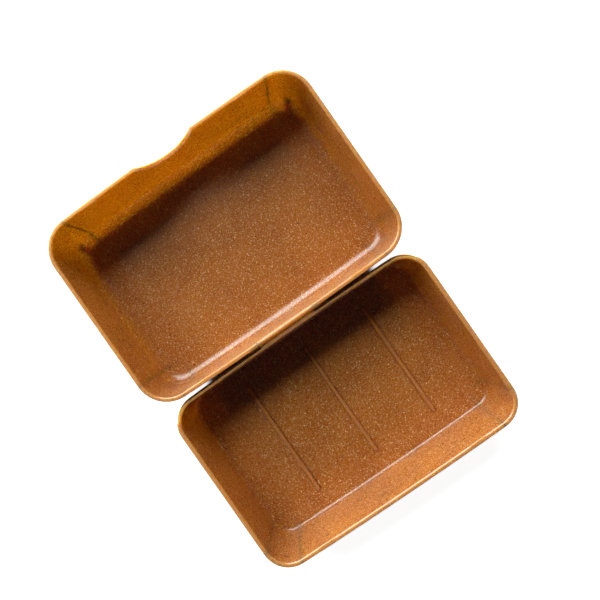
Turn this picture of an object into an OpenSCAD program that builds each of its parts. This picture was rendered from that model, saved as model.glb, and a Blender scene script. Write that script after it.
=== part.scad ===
// Travel soap box in translucent brown moulded plastic, lying fully open.
// The ribbed base stands at the origin, the slightly larger lid lies behind it (+Y).
// Both shells carry one wall section round straight ends, four corners and two bowed sides.

/* [Base tray] */
// length of the base over its rim
base_length = 97.8; // [85:0.1:120]
// width of the base over its rim
base_width = 66.8; // [55:0.1:90]
// height of the base from the table to its rim
base_height = 20; // [16:0.1:30]
// wall thickness of the base
base_wall = 1.6; // [1.2:0.05:2.4]
// floor thickness of the base
base_floor = 1.6; // [1.2:0.05:2.4]
// plan radius of the base corners at the rim
corner_radius = 9.4; // [7:0.1:14]
// plan radius of the slightly bowed long sides
side_radius = 1800; // [900:10:4000]
// inside round between wall and floor of the base
base_inner_round = 1.6; // [0.8:0.1:4]
// outside round under the base
base_outer_round = 2.6; // [1.5:0.1:5]
// draft of all walls, in degrees
draft = 3; // [1:0.1:6]
// bevel on both edges of each rim
rim_bevel = 0.3; // [0.1:0.05:0.5]

/* [Soap ribs] */
// number of ribs on the base floor
rib_count = 3; // [1:1:5]
// spacing of the ribs
rib_pitch = 25.4; // [16:0.1:30]
// length of each rib with its round ends
rib_length = 46.5; // [30:0.5:54]
// radius of the round rib section
rib_radius = 1.0; // [0.6:0.05:1.6]
// height of the ribs over the floor
rib_height = 0.8; // [0.4:0.05:1.2]

/* [Lid] */
// wall thickness of the lid
lid_wall = 1.4; // [1.1:0.05:2]
// floor thickness of the lid
lid_floor = 1.5; // [1.2:0.05:2.4]
// free gap between base rim and lid wall when closed
lid_gap = 0.35; // [0.3:0.05:0.8]
// how far the lid wall laps over the base rim when closed
lap = 1.2; // [0.6:0.1:1.6]
// inside round between wall and floor of the lid
lid_inner_round = 4.6; // [2:0.1:7]
// outside round under the lid
lid_outer_round = 6; // [3:0.1:8]

/* [Thumb notch] */
// depth of the notch below the lid rim
notch_depth = 6.1; // [3:0.1:9]
// radius of the notch arc
notch_radius = 13.4; // [9:0.1:24]

/* [Lid feet] */
// length of each corner foot along the diagonal
foot_length = 3.1; // [2:0.1:4]
// spread of each corner foot about its corner centre, in degrees
foot_spread = 12; // [6:1:20]

/* [Hinge] */
// width of the cut-out in the rear wall of the lid
hinge_width = 21.5; // [16:0.1:30]
// free gap at each end of the hinge barrel
hinge_end_gap = 0.3; // [0.2:0.05:0.6]
// diameter of the hinge barrel on the base
barrel_d = 1.9; // [1.5:0.05:2.2]
// diameter of the stub pins at the barrel ends
pin_d = 1.0; // [0.8:0.05:1.2]
// length of each stub pin
pin_length = 2.2; // [1.4:0.1:3]
// radial clearance of the pins in their bores
pin_clearance = 0.03; // [0.01:0.01:0.1]
// outer diameter of the lid ears round the bores
ear_d = 2.0; // [1.8:0.05:2.2]
// length of each ear
ear_length = 3.8; // [3:0.1:6]
// width of the relief step on the rear rim of the base
relief_width = 0.7; // [0.6:0.05:0.9]
// depth of the relief step
relief_depth = 1.4; // [1.2:0.05:2]

/* [Moulding marks] */
// distance of the ejector marks from the middle of each long side
mark_offset = 29.6; // [20:0.1:36]
// diameter of the ejector marks
mark_d = 6.4; // [4:0.1:8]
// depth of the ejector marks in the rim
mark_depth = 0.15; // [0.05:0.05:0.3]

/* [Hidden] */
$fn = 64;
overhang = lid_gap + lid_wall;
base_a = base_length / 2;
base_b = base_width / 2;
lid_a = base_a + overhang;
lid_b = base_b + overhang;
lid_radius = corner_radius + overhang;
lid_side_radius = side_radius + overhang;
lid_height = base_height + lap;
// one centre serves the base corner and the lid corner, as the lid is a plain offset
corner_x = base_a - corner_radius;
corner_y = base_b - side_radius
    + sqrt(pow(side_radius - corner_radius, 2) - pow(corner_x, 2));
side_angle = asin(corner_x / (side_radius - corner_radius));
relief_from = 30;
// the corner sweeps stop this far from their own axis and the floor plate fills the rest
core = 1;
hinge_y = base_b + lid_gap + lid_wall / 2;
hinge_z = base_height;
barrel_length = hinge_width - 2 * hinge_end_gap;
bore_d = pin_d + 2 * pin_clearance;
bore_depth = hinge_end_gap + pin_length + 0.2;
brown = [0.62, 0.36, 0.16];
light_brown = [0.68, 0.4, 0.18];

// The wall section: x runs inward from the rim edge, y runs up from the table.

// point on a drafted face: start x at the rim, length down the face, distance inward
function on_face(x0, h, down, inward) =
    [x0 + down * sin(draft) + inward * cos(draft), h - down * cos(draft) + inward * sin(draft)];

// length down a drafted face to where a round of radius r over height z touches it
function fall_to(h, z, r) = (h - z - r * (1 - sin(draft))) / cos(draft);

// the quarter of a disc that rounds a lower outer corner
module lower_quarter(r) {
    intersection() {
        circle(r = r);
        translate([-r, -r]) square(r);
    }
}

// filled section with the round under the shell and the outer rim bevel
module outer_region(h, r_under, reach) {
    fall = fall_to(h, 0, r_under);
    under = on_face(0, h, fall, r_under);
    polygon([on_face(0, h, rim_bevel, 0), on_face(0, h, fall, 0), under, [under[0], 0],
             [reach, 0], [reach, h], [rim_bevel, h]]);
    translate(under) lower_quarter(r_under);
}

// hollow of the section with the floor round and the inner rim bevel
module hollow_region(h, wall, floor_t, r_floor, reach) {
    w = wall / cos(draft);
    fall = fall_to(h, floor_t, r_floor);
    foot = on_face(w, h, fall, r_floor);
    polygon([[w - rim_bevel, h + 1], [w - rim_bevel, h], on_face(w, h, rim_bevel, 0),
             on_face(w, h, fall, 0), foot, [foot[0], floor_t], [reach + 1, floor_t],
             [reach + 1, h + 1]]);
    translate(foot) lower_quarter(r_floor);
}

module base_section() {
    difference() {
        outer_region(base_height, base_outer_round, corner_radius - core);
        hollow_region(base_height, base_wall, base_floor, base_inner_round, corner_radius - core);
    }
}

// cut that lowers the outer part of the rim
module relief_section() {
    translate([-1, base_height - relief_depth]) square([1 + relief_width, relief_depth + 1]);
}

module lid_section() {
    difference() {
        outer_region(lid_height, lid_outer_round, lid_radius - core);
        hollow_region(lid_height, lid_wall, lid_floor, lid_inner_round, lid_radius - core);
    }
}

// Sweeps of a section along the three kinds of side.

// straight end wall at x = +a
module end_wall(a) {
    translate([a, corner_y, 0]) rotate([90, 0, 0]) mirror([1, 0, 0])
        linear_extrude(height = 2 * corner_y) children();
}

// corner at +x +y between two plan angles
module corner_wall(r, from, to) {
    translate([corner_x, corner_y, 0]) rotate([0, 0, from])
        rotate_extrude(angle = to - from, $fn = 96) translate([r, 0]) mirror([1, 0]) children();
}

// bowed long side at +y
module long_wall(b, big_r) {
    translate([0, b - big_r, 0]) rotate([0, 0, 90 - side_angle])
        rotate_extrude(angle = 2 * side_angle, $fn = 1152)
            translate([big_r, 0]) mirror([1, 0]) children();
}

// flat middle of a floor, reaching into the inner ends of the swept sections
module floor_plate(b, r, floor_t) {
    x = corner_x + 1.5 * core;
    y = b - r + 1.5 * core;
    translate([-x, -y, 0]) cube([2 * x, 2 * y, floor_t]);
}

module both_ends() { children(); mirror([1, 0, 0]) children(); }

module base_shell() {
    both_ends() {
        end_wall(base_a) base_section();
        corner_wall(corner_radius, 0, 90 - side_angle) base_section();
        mirror([0, 1, 0]) corner_wall(corner_radius, 0, 90 - side_angle) base_section();
    }
    long_wall(base_b, side_radius) base_section();
    mirror([0, 1, 0]) long_wall(base_b, side_radius) base_section();
    floor_plate(base_b, corner_radius, base_floor);
}

module lid_shell() {
    both_ends() {
        end_wall(lid_a) lid_section();
        corner_wall(lid_radius, 0, 90 - side_angle) lid_section();
        mirror([0, 1, 0]) corner_wall(lid_radius, 0, 90 - side_angle) lid_section();
    }
    long_wall(lid_b, lid_side_radius) lid_section();
    mirror([0, 1, 0]) long_wall(lid_b, lid_side_radius) lid_section();
    floor_plate(lid_b, lid_radius, lid_floor);
}

// Details of the base.

// one round-topped rib with round ends, running across the tray
module soap_rib() {
    half = rib_length / 2 - rib_radius;
    translate([0, 0, base_floor + rib_height - rib_radius]) {
        rotate([90, 0, 0]) cylinder(r = rib_radius, h = 2 * half, center = true, $fn = 32);
        for (s = [-1, 1]) translate([0, s * half, 0]) sphere(r = rib_radius, $fn = 32);
    }
}

module soap_ribs() {
    for (i = [0 : rib_count - 1])
        translate([(i - (rib_count - 1) / 2) * rib_pitch, 0, 0]) soap_rib();
}

// ejector marks on the rim of a long side at y = +b
module rim_marks(b, h) {
    for (s = [-1, 1])
        translate([s * mark_offset, b - 2.2, h - mark_depth]) cylinder(d = mark_d, h = 1);
}

// anything placed in the line of the hinge: x along the hinge, origin in its middle
module on_hinge() {
    translate([0, hinge_y, hinge_z]) children();
}

module along_x(d, length) {
    rotate([0, 90, 0]) cylinder(d = d, h = length, center = true);
}

// step along the rear rim that lets the edge of the lid swing past, left out at the tongue
module rear_relief() {
    difference() {
        union() {
            both_ends() corner_wall(corner_radius, relief_from, 90 - side_angle) relief_section();
            long_wall(base_b, side_radius) relief_section();
        }
        translate([-barrel_length / 2, base_b - 4, 0]) cube([barrel_length, 8, 60]);
    }
}

// barrel, its web to the rear wall and the two stub pins
module hinge_tongue() {
    web_z = -0.2;
    on_hinge() {
        along_x(barrel_d, barrel_length);
        along_x(pin_d, barrel_length + 2 * (hinge_end_gap + pin_length));
        translate([-barrel_length / 2, -(lid_gap + lid_wall / 2) - 0.9, -barrel_d / 2])
            cube([barrel_length, lid_gap + lid_wall / 2 + 0.9, barrel_d / 2 + web_z]);
    }
}

module base() {
    color(brown) {
        difference() {
            base_shell();
            rear_relief();
            rim_marks(base_b, base_height);
            mirror([0, 1, 0]) rim_marks(base_b, base_height);
        }
        soap_ribs();
        hinge_tongue();
    }
}

// Details of the lid, drawn in the lid's own frame with its rear wall towards -y.

module thumb_notch() {
    translate([0, lid_b + 3, lid_height - notch_depth + notch_radius]) rotate([90, 0, 0])
        cylinder(r = notch_radius, h = 8, $fn = 96);
}

// small feet that stand under the rounded corners of the lid
module corner_feet() {
    both_ends() for (m = [0, 1]) mirror([0, m, 0])
        corner_wall(lid_radius, 45 - foot_spread / 2, 45 + foot_spread / 2) difference() {
            translate([1, 0]) square([foot_length, 5]);
            hollow_region(lid_height, lid_wall, lid_floor, lid_inner_round, lid_radius - core);
        }
}

// hinge line in the lid's own frame
module on_lid_hinge() {
    translate([0, -(lid_b - lid_wall / 2), lid_height - lap]) children();
}

module lid_ears() {
    on_lid_hinge()
        for (s = [-1, 1]) translate([s * (hinge_width + ear_length) / 2, 0, 0])
            along_x(ear_d, ear_length);
}

module hinge_cutout() {
    depth = barrel_d / 2 + 0.35;
    on_lid_hinge() {
        translate([-hinge_width / 2, -4, -depth]) cube([hinge_width, 8, depth + lap + 1]);
        along_x(bore_d, hinge_width + 2 * bore_depth);
    }
}

module lid_body() {
    difference() {
        union() {
            lid_shell();
            lid_ears();
            corner_feet();
        }
        hinge_cutout();
        thumb_notch();
        rim_marks(lid_b, lid_height);
        mirror([0, 1, 0]) rim_marks(lid_b, lid_height);
    }
}

// the lid laid open: its hinge line brought onto the hinge line of the base
module lid() {
    color(light_brown) on_hinge()
        translate([0, lid_b - lid_wall / 2, -(lid_height - lap)]) lid_body();
}

base();
lid();
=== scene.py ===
"""Looks of the travel soap box, lying fully open and seen from straight above.

The two mouldings come from the frame; this script gives them their wood-filled
translucent plastic, and sets the table, the studio light and the camera.
Lengths are metres in the frame's own axes.
"""

import math

import bpy
from mathutils import Euler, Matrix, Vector

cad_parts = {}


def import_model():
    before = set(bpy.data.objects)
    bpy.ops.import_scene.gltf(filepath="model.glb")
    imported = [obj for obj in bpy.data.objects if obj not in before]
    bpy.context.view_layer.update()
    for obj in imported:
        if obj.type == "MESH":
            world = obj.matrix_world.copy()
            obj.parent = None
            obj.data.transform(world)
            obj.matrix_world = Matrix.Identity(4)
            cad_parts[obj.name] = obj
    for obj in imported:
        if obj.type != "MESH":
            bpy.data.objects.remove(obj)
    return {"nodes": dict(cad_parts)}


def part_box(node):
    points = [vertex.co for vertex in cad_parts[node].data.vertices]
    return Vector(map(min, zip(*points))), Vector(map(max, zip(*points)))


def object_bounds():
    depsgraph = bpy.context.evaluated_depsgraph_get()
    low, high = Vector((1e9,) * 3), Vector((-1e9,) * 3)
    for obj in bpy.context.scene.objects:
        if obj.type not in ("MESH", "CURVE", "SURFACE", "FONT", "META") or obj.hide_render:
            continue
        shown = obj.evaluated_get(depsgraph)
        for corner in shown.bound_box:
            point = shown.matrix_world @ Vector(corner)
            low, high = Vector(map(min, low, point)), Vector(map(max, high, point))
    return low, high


MM = 0.001

# The camera, as worked out from the photograph: a close view from above the hinge.
PHOTO_SIDE = 600
CAMERA_PLACE = Vector((10.25, 41.89, 164.36)) * MM
CAMERA_TURN = (-1.356, 1.306, -34.959)
FOCAL_PIXELS = 447.5
CENTRE_SHIFT = (-12.34, -0.78)

# The light: a wide softbox low behind the open lid, and weak light from all round.
KEY_WAY = (-0.06, 0.865, 0.5)
KEY_SIZE = (1.5, 1.05)
KEY_DISTANCE = 1.2
KEY_POWER = 37
FILL_STRENGTH = 0.025

# The table: half its side, how far its white is lifted for the camera, and how far in
# from the edges of what lies on it the lift fades out and ends; further in, the paper is
# left unlifted as a painted shade under the shells.
TABLE_REACH = 3.0
TABLE_LIFT = 0.93
LIFT_FADES = 12 * MM
LIFT_ENDS = 16 * MM

# Levels and places on the mouldings: the base's rim and the depth of the band under a rim
# that is painted paler as the sheen of the lit rim top, the lid's corner centre in from
# its box, where the painted shade of a foot begins and ends out from that centre, and the
# half area and the heights of the floor ribs, whose crests get painted light and feet
# painted shade.
BASE_RIM = 20 * MM
RIM_BAND = (0.5 * MM, 0.1 * MM)
LID_CORNER = 11.15 * MM
FOOT_SHADE_SPAN = (7.3 * MM, 8.8 * MM)
FOOT_SHADE_EDGE = 0.4 * MM
FOOT_SHADE_HALF_WIDTH = (1.0 * MM, 1.6 * MM)
REAR_FOOT_SHADE_SHARE = 0.35
RIB_REACH = (30 * MM, 24.5 * MM)
RIB_LEVELS = (1.6 * MM, 2.4 * MM)

# How the plastic takes light: gloss range, clear outer layer, and the depth to which
# red, green and blue light spreads under the surface.
ROUGHNESS = (0.24, 0.36)
COAT_WEIGHT = 0.45
COAT_ROUGHNESS = 0.18
GLOW_RADIUS = (0.95, 0.88, 0.11)
GLOW_DEPTH = 6.2 * MM
RELIEF_STRENGTH = 0.3
RELIEF_DEPTH = 0.06 * MM

# Pale chips in the plastic: size across, turn in the sheet, share of places filled.
CHIPS = (
    (0.00030, 0.15, 0.55),
    (0.00034, -0.55, 0.45),
    (0.00042, 0.75, 0.30),
    (0.00055, 1.6, 0.10),
)


def srgb(red, green, blue):
    """A colour written as 0-255 screen values, as linear values with alpha."""

    def linear(c):
        c /= 255
        return c / 12.92 if c <= 0.04045 else ((c + 0.055) / 1.055) ** 2.4

    return (linear(red), linear(green), linear(blue), 1.0)


# Short calls for building node trees.


class Tree:
    """A node tree with short calls to add a node and join sockets."""

    def __init__(self, tree):
        self.tree = tree

    def add(self, kind, **values):
        node = self.tree.nodes.new("ShaderNode" + kind)
        for name, value in values.items():
            setattr(node, name, value)
        return node

    def feed(self, socket, value):
        if isinstance(value, bpy.types.NodeSocket):
            self.tree.links.new(value, socket)
        elif value is not None:
            socket.default_value = value

    def math(self, operation, a, b=None, c=None):
        node = self.add("Math", operation=operation)
        for socket, value in zip(node.inputs, (a, b, c)):
            self.feed(socket, value)
        return node.outputs[0]

    def mix(self, share, a, b):
        """Colour a with its share replaced by colour b."""
        node = self.add("Mix", data_type="RGBA")
        for index, value in ((0, share), (6, a), (7, b)):
            self.feed(node.inputs[index], value)
        return node.outputs[2]

    def ramp(self, value, low, high, out_low=0.0, out_high=1.0):
        """value taken smoothly from low..high to out_low..out_high."""
        node = self.add("MapRange", interpolation_type="SMOOTHSTEP")
        for index, part in enumerate((value, low, high, out_low, out_high)):
            self.feed(node.inputs[index], part)
        return node.outputs[0]

    def scaled(self, vector, scale):
        node = self.add("Mapping")
        self.feed(node.inputs["Vector"], vector)
        node.inputs["Scale"].default_value = scale
        return node.outputs[0]

    def noise(self, vector, scale, detail=2.0, roughness=0.5):
        node = self.add("TexNoise")
        self.feed(node.inputs["Vector"], vector)
        node.inputs["Scale"].default_value = scale
        node.inputs["Detail"].default_value = detail
        node.inputs["Roughness"].default_value = roughness
        return node.outputs[0]


def new_group(name, inputs, outputs):
    """An empty shader group with named sockets: (Tree, inputs, outputs)."""
    group = bpy.data.node_groups.new(name, "ShaderNodeTree")
    for label, kind, value in inputs:
        socket = group.interface.new_socket(
            label, in_out="INPUT", socket_type="NodeSocket" + kind
        )
        if value is not None:
            socket.default_value = value
    for label, kind in outputs:
        group.interface.new_socket(
            label, in_out="OUTPUT", socket_type="NodeSocket" + kind
        )
    start = group.nodes.new("NodeGroupInput")
    end = group.nodes.new("NodeGroupOutput")
    return Tree(group), start.outputs, end.inputs


def place_group(tree, group, **values):
    node = tree.tree.nodes.new("ShaderNodeGroup")
    node.node_tree = group
    for label, value in values.items():
        tree.feed(node.inputs[label.replace("_", " ")], value)
    return node.outputs


# Effects that both mouldings share.


def chips_group():
    """Short chips strewn in the plastic: 1 on a chip, 0 between them."""
    t, given, out = new_group(
        "wood chips",
        [
            ("Vector", "Vector", None),
            ("Size", "Float", 0.0008),
            ("Stretch", "Float", 2.5),
            ("Turn", "Float", 0.0),
            ("Share", "Float", 0.5),
        ],
        [("Mask", "Float"), ("Tone", "Float")],
    )
    spin = t.add("VectorRotate", rotation_type="Z_AXIS")
    t.feed(spin.inputs["Vector"], given["Vector"])
    t.feed(spin.inputs["Angle"], given["Turn"])
    per_length = t.math("DIVIDE", 1.0, given["Size"])
    along = t.math("DIVIDE", per_length, given["Stretch"])
    sizes = t.add("CombineXYZ")
    t.feed(sizes.inputs[0], along)
    t.feed(sizes.inputs[1], per_length)
    t.feed(sizes.inputs[2], per_length)
    grid = t.add("VectorMath", operation="MULTIPLY")
    t.feed(grid.inputs[0], spin.outputs[0])
    t.feed(grid.inputs[1], sizes.outputs[0])
    cells = t.add("TexVoronoi", feature="F1")
    t.feed(cells.inputs["Vector"], grid.outputs[0])
    cells.inputs["Scale"].default_value = 1.0
    draw = t.add("SeparateColor")
    t.feed(draw.inputs[0], cells.outputs["Color"])
    reach = t.math("MULTIPLY_ADD", draw.outputs[0], 0.3, 0.12)
    body = t.ramp(
        t.math("DIVIDE", cells.outputs["Distance"], reach), 0.55, 1.0, 1.0, 0.0
    )
    chosen = t.math("LESS_THAN", draw.outputs[1], given["Share"])
    t.feed(out["Mask"], t.math("MULTIPLY", body, chosen))
    t.feed(out["Tone"], draw.outputs[2])
    return t.tree


def streaks_group():
    """Dark fibres drawn out along upright walls, none on the level floor."""
    t, given, out = new_group(
        "drawn fibres",
        [("Vector", "Vector", None), ("Normal", "Vector", None)],
        [("Mask", "Float")],
    )
    parts = t.add("SeparateXYZ")
    t.feed(parts.inputs[0], given["Normal"])
    wall = t.ramp(t.math("ABSOLUTE", parts.outputs[2]), 0.9, 0.5)
    fine = t.noise(t.scaled(given["Vector"], (260, 260, 1500)), 1.0, 3.0, 0.62)
    broad = t.noise(t.scaled(given["Vector"], (90, 90, 300)), 1.0, 2.0)
    thread = t.ramp(fine, 0.54, 0.70)
    patch = t.ramp(broad, 0.40, 0.62)
    t.feed(out["Mask"], t.math("MULTIPLY", t.math("MULTIPLY", thread, patch), wall))
    return t.tree


def foot_shade_group():
    """Painted shade inside a shell's corners, where the feet outside hold back the glow
    through the wall; weaker at the rear.
    """
    t, given, out = new_group(
        "painted corner foot shade",
        [
            ("Vector", "Vector", None),
            ("Middle", "Float", 0.0),
            ("Corner X", "Float", 0.0),
            ("Corner Y", "Float", 0.0),
            ("From", "Float", 0.0),
            ("To", "Float", 0.0),
        ],
        [("Mask", "Float")],
    )
    parts = t.add("SeparateXYZ")
    t.feed(parts.inputs[0], given["Vector"])
    side = t.math("SUBTRACT", parts.outputs[1], given["Middle"])
    x = t.math("SUBTRACT", t.math("ABSOLUTE", parts.outputs[0]), given["Corner X"])
    y = t.math("SUBTRACT", t.math("ABSOLUTE", side), given["Corner Y"])
    half = math.sqrt(0.5)
    out_along = t.math("MULTIPLY", t.math("ADD", x, y), half)
    across = t.math("ABSOLUTE", t.math("MULTIPLY", t.math("SUBTRACT", x, y), half))
    begin = t.ramp(t.math("SUBTRACT", out_along, given["From"]), 0.0, FOOT_SHADE_EDGE)
    stop = t.ramp(t.math("SUBTRACT", given["To"], out_along), 0.0, FOOT_SHADE_EDGE)
    narrow = t.ramp(across, *FOOT_SHADE_HALF_WIDTH, 1.0, 0.0)
    patch = t.math("MULTIPLY", t.math("MULTIPLY", begin, stop), narrow)
    front = t.ramp(side, -1 * MM, 1 * MM, REAR_FOOT_SHADE_SHARE, 1.0)
    t.feed(out["Mask"], t.math("MULTIPLY", patch, front))
    return t.tree


# The plastic and the table's white paper.


def wood_filled_plastic(name, groups, tones, rim_height, marks=None, ribbed=False):
    """Translucent brown plastic with wood fibre: a material for one moulding.

    rim_height is the level of the rim top, painted paler as the sheen of its lit face.
    marks, for the lid, says where the corner feet outside it hold back the glow, painted
    as dark shade patches inside. ribbed, for the base, paints the floor ribs' crests paler
    as painted light and their feet darker as painted shade.
    """
    chips, streaks, feet = groups
    material = bpy.data.materials.new(name)
    material.use_nodes = True
    t = Tree(material.node_tree)
    t.tree.nodes.clear()
    where = t.add("TexCoord")
    spot, facing = where.outputs["Object"], where.outputs["Normal"]

    mottle = t.noise(spot, 60.0, 3.0, 0.5)
    grain = t.noise(spot, 2100.0, 3.0, 0.65)
    colour = t.mix(t.ramp(mottle, 0.3, 0.7), tones["deep"], tones["warm"])
    colour = t.mix(t.ramp(grain, 0.3, 0.75, 0.0, 0.5), colour, tones["pale"])
    colour = t.mix(t.ramp(grain, 0.5, 0.3, 0.0, 0.35), colour, tones["dark_grain_and_rib_shade"])

    light_chips = 0.0
    for size, turn, share in CHIPS:
        flakes = place_group(
            t, chips, Vector=spot, Size=size, Stretch=2.0, Turn=turn, Share=share
        )
        tone = t.math("MULTIPLY_ADD", flakes[1], 0.6, 0.4)
        light_chips = t.math("MAXIMUM", light_chips, t.math("MULTIPLY", flakes[0], tone))
    colour = t.mix(light_chips, colour, tones["chip"])

    dark = place_group(
        t, chips, Vector=spot, Size=0.0009, Stretch=1.6, Turn=0.9, Share=0.07
    )
    colour = t.mix(t.math("MULTIPLY", dark[0], 0.6), colour, tones["fibre"])
    drawn = place_group(t, streaks, Vector=spot, Normal=facing)
    colour = t.mix(t.math("MULTIPLY", drawn[0], 0.75), colour, tones["fibre"])

    # Painted shade: dark patches in the fibre colour inside the lid's corners, where the
    # feet outside hold back the glow through the wall.
    if marks:
        patch = place_group(t, feet, Vector=spot, **marks)
        colour = t.mix(t.math("MULTIPLY", patch[0], 0.55), colour, tones["fibre"])

    # Painted sheen: the rim top and the band just under it are mixed towards the paler rim
    # colour, standing in for the sheen of the directly lit rim.
    level = t.add("SeparateXYZ")
    t.feed(level.inputs[0], spot)
    rim = t.ramp(level.outputs[2], *(rim_height - drop for drop in RIM_BAND))
    colour = t.mix(t.math("MULTIPLY", rim, 0.6), colour, tones["rim"])

    # Painted light and shade on the floor ribs: their feet are darkened as painted shade
    # and their crests lightened in the rim colour as painted light.
    if ribbed:
        low, high = RIB_LEVELS
        rise = high - low
        over_floor = 1.0
        for axis in (0, 1):
            away = t.math("ABSOLUTE", level.outputs[axis])
            near = t.ramp(away, RIB_REACH[axis], RIB_REACH[axis] + 0.5 * MM, 1.0, 0.0)
            over_floor = t.math("MULTIPLY", over_floor, near)
        side = t.ramp(level.outputs[2], low + 0.03 * rise, low + 0.1 * rise)
        painted_crest_light = t.ramp(level.outputs[2], low + 0.6 * rise, low + 0.9 * rise)
        side = t.math("MULTIPLY", side, over_floor)
        painted_crest_light = t.math("MULTIPLY", painted_crest_light, over_floor)
        colour = t.mix(t.math("MULTIPLY", side, 0.45), colour, tones["dark_grain_and_rib_shade"])
        colour = t.mix(t.math("MULTIPLY", painted_crest_light, 0.35), colour, tones["rim"])

    shader = t.add("BsdfPrincipled")
    t.feed(shader.inputs["Base Color"], colour)
    t.feed(shader.inputs["Roughness"], t.ramp(grain, 0.3, 0.7, *ROUGHNESS))
    shader.inputs["IOR"].default_value = 1.5
    shader.inputs["Coat Weight"].default_value = COAT_WEIGHT
    shader.inputs["Coat Roughness"].default_value = COAT_ROUGHNESS
    shader.inputs["Subsurface Weight"].default_value = 1.0
    shader.inputs["Subsurface Radius"].default_value = GLOW_RADIUS
    shader.inputs["Subsurface Scale"].default_value = GLOW_DEPTH
    relief = t.math("MULTIPLY_ADD", light_chips, 0.35, grain)
    bump = t.add("Bump")
    bump.inputs["Strength"].default_value = RELIEF_STRENGTH
    bump.inputs["Distance"].default_value = RELIEF_DEPTH
    t.feed(bump.inputs["Height"], relief)
    t.feed(shader.inputs["Normal"], bump.outputs[0])
    end = t.add("OutputMaterial")
    t.feed(end.inputs["Surface"], shader.outputs[0])
    return material


def table_material(covered):
    """White paper: pure white where the camera sees it lit, with a faint shadow.

    covered holds the lowest and highest corner of what lies on the table; the white
    isn't lifted there, a painted shade under the shells, so the slot between the two
    shells stays dark.
    """
    material = bpy.data.materials.new("white_table")
    material.use_nodes = True
    t = Tree(material.node_tree)
    t.tree.nodes.clear()
    paper = t.add("BsdfDiffuse")
    paper.inputs["Color"].default_value = (0.8, 0.8, 0.8, 1)
    where = t.add("TexCoord")
    parts = t.add("SeparateXYZ")
    t.feed(parts.inputs[0], where.outputs["Object"])
    # The lift is left off under the shells: a painted shade that keeps the slot between
    # them dark.
    open_paper = 0.0
    for axis in (0, 1):
        middle = (covered[0][axis] + covered[1][axis]) / 2
        reach = (covered[1][axis] - covered[0][axis]) / 2
        away = t.math("ABSOLUTE", t.math("SUBTRACT", parts.outputs[axis], middle))
        beyond = t.ramp(away, reach - LIFT_ENDS, reach - LIFT_FADES)
        open_paper = t.math("MAXIMUM", open_paper, beyond)
    lift = t.add("Emission")
    lift.inputs["Color"].default_value = (1, 1, 1, 1)
    t.feed(lift.inputs["Strength"], t.math("MULTIPLY", open_paper, TABLE_LIFT))
    both = t.add("AddShader")
    t.feed(both.inputs[0], paper.outputs[0])
    t.feed(both.inputs[1], lift.outputs[0])
    ray = t.add("LightPath")
    seen = t.math("MAXIMUM", ray.outputs["Is Camera Ray"], ray.outputs["Is Glossy Ray"])
    seen = t.math("MAXIMUM", seen, ray.outputs["Is Transmission Ray"])
    choose = t.add("MixShader")
    t.feed(choose.inputs[0], seen)
    t.feed(choose.inputs[1], paper.outputs[0])
    t.feed(choose.inputs[2], both.outputs[0])
    end = t.add("OutputMaterial")
    t.feed(end.inputs["Surface"], choose.outputs[0])
    return material


# What stands round the box: table, lamp, weak all-round light and camera.


def wear(piece, material):
    """The piece takes the material in every slot it has."""
    for slot in piece.material_slots:
        slot.material = material


def add_table(covered):
    mesh = bpy.data.meshes.new("table")
    reach = TABLE_REACH
    mesh.from_pydata(
        [(-reach, -reach, 0), (reach, -reach, 0), (reach, reach, 0), (-reach, reach, 0)],
        [],
        [(0, 1, 2, 3)],
    )
    table = bpy.data.objects.new("table", mesh)
    bpy.context.scene.collection.objects.link(table)
    mesh.materials.append(table_material(covered))


def add_softbox(name, target, direction, distance, size, power):
    """An area lamp at a distance from target along direction, aimed at target."""
    lamp = bpy.data.lights.new(name, "AREA")
    lamp.shape = "RECTANGLE"
    lamp.size, lamp.size_y = size
    lamp.energy = power
    holder = bpy.data.objects.new(name, lamp)
    bpy.context.scene.collection.objects.link(holder)
    way = Vector(direction).normalized()
    holder.location = target + way * distance
    holder.rotation_mode = "QUATERNION"
    holder.rotation_quaternion = way.to_track_quat("Z", "Y")


def add_world(strength):
    world = bpy.data.worlds.new("studio")
    world.use_nodes = True
    world.node_tree.nodes["Background"].inputs["Color"].default_value = (1, 1, 1, 1)
    world.node_tree.nodes["Background"].inputs["Strength"].default_value = strength
    bpy.context.scene.world = world


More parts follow.
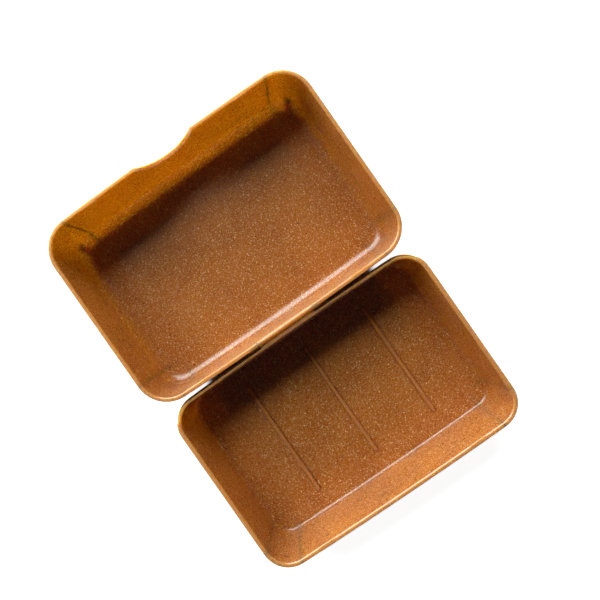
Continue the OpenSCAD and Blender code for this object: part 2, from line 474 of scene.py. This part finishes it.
def add_camera():
    lens = bpy.data.cameras.new("camera")
    lens.sensor_width = 36
    lens.lens = FOCAL_PIXELS / PHOTO_SIDE * lens.sensor_width
    lens.shift_x = -CENTRE_SHIFT[0] / PHOTO_SIDE
    lens.shift_y = CENTRE_SHIFT[1] / PHOTO_SIDE
    lens.clip_start, lens.clip_end = 0.005, 10
    holder = bpy.data.objects.new("camera", lens)
    bpy.context.scene.collection.objects.link(holder)
    holder.location = CAMERA_PLACE
    holder.rotation_euler = Euler([math.radians(a) for a in CAMERA_TURN], "XYZ")
    bpy.context.scene.camera = holder


def main():
    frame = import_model()
    cad_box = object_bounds()
    bpy.context.scene.view_settings.view_transform = "Standard"

    groups = (chips_group(), streaks_group(), foot_shade_group())
    tones = {
        "deep": srgb(158, 88, 30),
        "warm": srgb(178, 104, 38),
        "pale": srgb(200, 136, 66),
        "dark_grain_and_rib_shade": srgb(112, 52, 12),
        "chip": srgb(255, 220, 160),
        # fibre colours the dark fibres and chips, and also the painted foot shade in the
        # lid's corners.
        "fibre": srgb(58, 20, 3),
        # rim is a painted sheen colour: the paler lit rim tops and the painted light on
        # the rib crests.
        "rim": srgb(208, 150, 102),
    }
    base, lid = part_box("base"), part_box("lid")
    corner = Vector((lid[1].x, (lid[1].y - lid[0].y) / 2)) - Vector((1, 1)) * LID_CORNER
    lid_foot_shade_spots = {
        "Middle": (lid[0].y + lid[1].y) / 2,
        "Corner_X": corner.x,
        "Corner_Y": corner.y,
        "From": FOOT_SHADE_SPAN[0],
        "To": FOOT_SHADE_SPAN[1],
    }
    wear(
        frame["nodes"]["base"],
        wood_filled_plastic("base_plastic", groups, tones, BASE_RIM, ribbed=True),
    )
    wear(
        frame["nodes"]["lid"],
        wood_filled_plastic("lid_plastic", groups, tones, lid[1].z, lid_foot_shade_spots),
    )

    add_table(cad_box)
    add_world(FILL_STRENGTH)
    middle = (cad_box[0] + cad_box[1]) / 2
    add_softbox("key light", middle, KEY_WAY, KEY_DISTANCE, KEY_SIZE, KEY_POWER)
    add_camera()


main()
